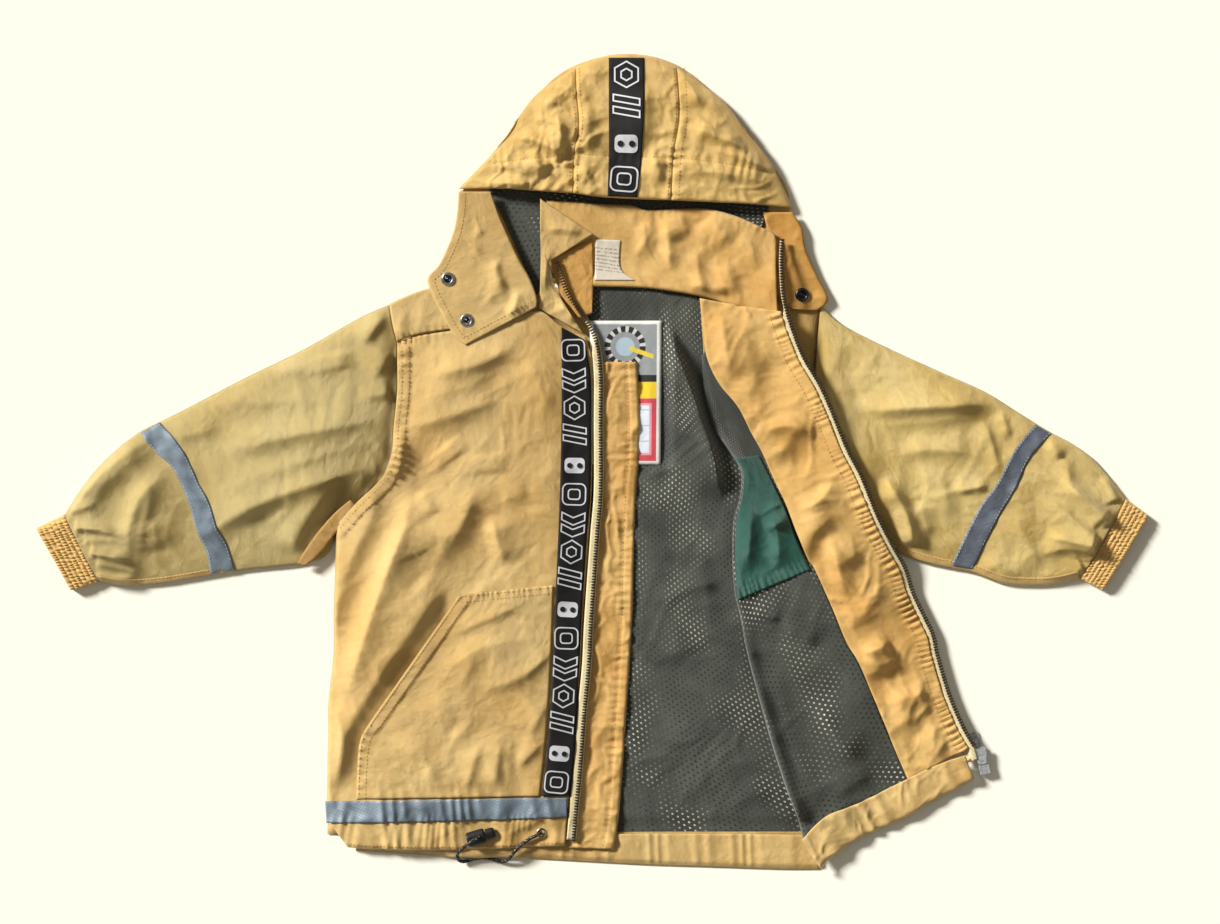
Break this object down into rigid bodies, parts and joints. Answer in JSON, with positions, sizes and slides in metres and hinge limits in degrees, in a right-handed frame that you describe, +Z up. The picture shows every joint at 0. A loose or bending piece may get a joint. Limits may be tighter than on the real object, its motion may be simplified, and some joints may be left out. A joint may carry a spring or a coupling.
{
  "type": "child's hooded rain jacket, laid out open",
  "caption": "Lined child's rain jacket with a hood held by snap fasteners, zip front, gathered cuffs and hem, laid flat on its back with one front folded open.",
  "frame": {"origin": "centre of the bounding box on the surface that the jacket lies on", "axes": "+Z up from the surface, +Y from the hem towards the hood, +X towards the wearer's left sleeve"},
  "size_m": [0.9436, 0.6928, 0.0207],
  "materials": {
    "shell_cloth": "coated plain weave, soft sheen",
    "facing_cloth": "uncoated side of the weave, matt",
    "mesh_lining": "knitted mesh with rows of small holes",
    "pocket_bag_cloth": "plain weave, soft sheen",
    "woven_ribbon": "woven ribbon with a white outlined motif",
    "reflective_tape": "retroreflective tape, satin",
    "label_cloth": "woven satin label",
    "zip_tape": "woven tape, matt",
    "zip_teeth": "moulded plastic",
    "metal": "nickel plated, worn",
    "black_plastic": "moulded plastic",
    "cord": "braided elastic cord"
  },
  "bodies": {
    "jacket": {"back_panel": "shell_cloth", "back_hem_band": "shell_cloth", "sleeve_right": "shell_cloth", "sleeve_left": "shell_cloth", "cuff_right": "shell_cloth", "cuff_left": "shell_cloth", "front_right": "shell_cloth", "yoke_right": "shell_cloth", "front_hem_band": "shell_cloth", "pocket": "shell_cloth", "collar_right_end": "shell_cloth", "front_left": "shell_cloth", "hem_band_left": "shell_cloth", "hood_centre": "shell_cloth", "hood_side_right": "shell_cloth", "hood_side_left": "shell_cloth", "hood_back": "shell_cloth", "hood_tab_right": "shell_cloth", "placket": "facing_cloth", "collar_back": "facing_cloth", "collar_right_inside": "facing_cloth", "facing_left": "facing_cloth", "hood_tab_left": "facing_cloth", "back_lining": "mesh_lining", "lining_left": "mesh_lining", "hood_lining": "mesh_lining", "pocket_bag_left": "pocket_bag_cloth", "front_ribbon": "woven_ribbon", "hood_ribbon": "woven_ribbon", "sleeve_band_right": "reflective_tape", "sleeve_band_left": "reflective_tape", "hem_reflective": "reflective_tape", "size_label": "label_cloth", "care_label": "label_cloth", "zip_tape_right": "zip_tape", "zip_tape_left": "zip_tape", "zip_teeth_right": "zip_teeth", "zip_teeth_left": "zip_teeth", "zip_slider": "metal", "zip_box": "metal", "snap_right_upper": "metal", "snap_right_lower": "metal", "snap_left": "metal", "eyelet": "metal", "cord_lock": "black_plastic", "cord_lock_button": "black_plastic", "drawcord": "cord"},
    "zip_tab": {"zip_pull": "metal"}
  },
  "joints": [
    {"name": "zip_pull_swing", "type": "hinge", "parent": "jacket", "child": "zip_tab", "pos_m": [0.3294, -0.24943, 0.00166], "axis": [-0.9703, -0.2419, 0], "range_deg": [0, 170]}
  ]
}
